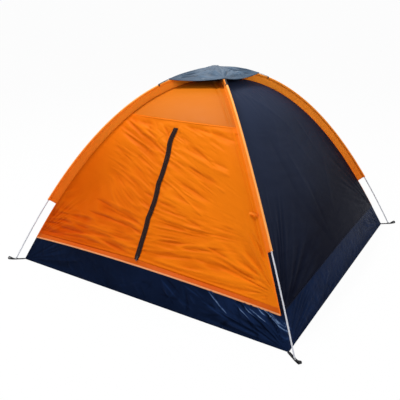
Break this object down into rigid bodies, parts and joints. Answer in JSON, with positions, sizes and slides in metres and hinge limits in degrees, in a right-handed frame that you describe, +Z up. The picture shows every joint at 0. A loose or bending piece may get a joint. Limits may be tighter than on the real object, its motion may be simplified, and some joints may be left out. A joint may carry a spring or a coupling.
{
  "type": "dome tent",
  "caption": "Two-pole dome tent with a zipped T-door, dark side walls, tub floor and a tied-on rain cap; flaps fold out, zips run and the cap lifts off.",
  "frame": {"origin": "centre of the floor, on the ground under the crossing of the poles", "axes": "+Z up, the door faces -Y, +X towards the right-hand side seen from the door"},
  "size_m": [2.173, 2.0652, 1.2787],
  "materials": {
    "orange_nylon": "matte",
    "navy_nylon": "matte",
    "navy_tarpaulin": "satin",
    "slate_nylon": "matte",
    "black_net": "matte",
    "fibreglass": "satin",
    "elastic": "matte",
    "zinc": "polished",
    "black_webbing": "matte",
    "black_zip": "matte"
  },
  "bodies": {
    "shell": {"groundsheet_tub": "navy_tarpaulin", "front_upper_panel": "orange_nylon", "front_lower_panel": "orange_nylon", "door_sill": "orange_nylon", "left_wall": "navy_nylon", "right_wall": "navy_nylon", "rear_wall": "orange_nylon", "roof_net": "black_net", "sill_zip_left": "black_zip", "sill_zip_right": "black_zip", "pole_sleeve_front_left": "orange_nylon", "pole_sleeve_front_right": "orange_nylon", "pole_sleeve_rear_left": "orange_nylon", "pole_sleeve_rear_right": "orange_nylon", "pole_tip_front_left": "zinc", "pole_tip_front_right": "zinc", "pole_tip_rear_left": "zinc", "pole_tip_rear_right": "zinc", "eyelet_front_left": "zinc", "eyelet_front_right": "zinc", "eyelet_rear_left": "zinc", "eyelet_rear_right": "zinc", "corner_strap_front_left": "black_webbing", "corner_strap_front_right": "black_webbing", "corner_strap_rear_left": "black_webbing", "corner_strap_rear_right": "black_webbing", "lower_pole_section_1": "fibreglass", "lower_pole_section_2": "fibreglass", "lower_pole_section_3": "fibreglass", "lower_pole_section_4": "fibreglass", "lower_pole_section_5": "fibreglass", "lower_pole_section_6": "fibreglass", "lower_pole_section_7": "fibreglass", "lower_pole_shock_cord": "elastic", "upper_pole_section_1": "fibreglass", "upper_pole_section_2": "fibreglass", "upper_pole_section_3": "fibreglass", "upper_pole_section_4": "fibreglass", "upper_pole_section_5": "fibreglass", "upper_pole_section_6": "fibreglass", "upper_pole_section_7": "fibreglass", "upper_pole_shock_cord": "elastic"},
    "door_left": {"door_flap_left": "orange_nylon", "door_zip_left": "black_zip", "hem_zip_left": "black_zip"},
    "door_right": {"door_flap_right": "orange_nylon", "door_zip_right": "black_zip", "hem_zip_right": "black_zip"},
    "zip_slider": {"door_slider": "zinc"},
    "zip_pull": {"door_pull": "zinc"},
    "hem_slider_left": {"hem_slider_left": "zinc"},
    "hem_pull_left": {"hem_pull_left": "zinc"},
    "hem_slider_right": {"hem_slider_right": "zinc"},
    "hem_pull_right": {"hem_pull_right": "zinc"},
    "cap": {"rain_cap": "slate_nylon", "cap_tie_front_left": "black_webbing", "cap_tie_front_right": "black_webbing", "cap_tie_rear_left": "black_webbing", "cap_tie_rear_right": "black_webbing"}
  },
  "joints": [
    {"name": "door_left_fold", "type": "hinge", "parent": "shell", "child": "door_left", "pos_m": [-0.84122, -0.89244, 0.19952], "axis": [-0.6946, -0.3259, -0.6413], "range_deg": [0, 110]},
    {"name": "door_right_fold", "type": "hinge", "parent": "shell", "child": "door_right", "pos_m": [0.8417, -0.89278, 0.20005], "axis": [-0.6937, 0.3267, 0.6419], "range_deg": [0, 110]},
    {"name": "zip_run", "type": "slide", "parent": "door_right", "child": "zip_slider", "axis": [0.0016, 0.534, 0.8455], "range_m": [0, 0.797]},
    {"name": "zip_pull_swing", "type": "hinge", "parent": "zip_slider", "child": "zip_pull", "pos_m": [0.00544, -0.94218, 0.28259], "axis": [0.9955, 0.0797, -0.0522], "range_deg": [-100, 0]},
    {"name": "hem_run_left", "type": "slide", "parent": "door_left", "child": "hem_slider_left", "axis": [-0.995, 0.0665, -0.0744], "range_m": [0, 0.761]},
    {"name": "hem_pull_left_swing", "type": "hinge", "parent": "hem_slider_left", "child": "hem_pull_left", "pos_m": [-0.04373, -0.93668, 0.25952], "axis": [-0.0273, 0.5361, 0.8437], "range_deg": [-60, 60]},
    {"name": "hem_run_right", "type": "slide", "parent": "door_right", "child": "hem_slider_right", "axis": [0.9951, 0.066, -0.0737], "range_m": [0, 0.761]},
    {"name": "hem_pull_right_swing", "type": "hinge", "parent": "hem_slider_right", "child": "hem_pull_right", "pos_m": [0.04384, -0.9367, 0.25956], "axis": [0.027, 0.5358, 0.8439], "range_deg": [-60, 60]},
    {"name": "cap_lift", "type": "slide", "parent": "shell", "child": "cap", "axis": [0, 0, 1], "range_m": [0, 0.15]}
  ]
}
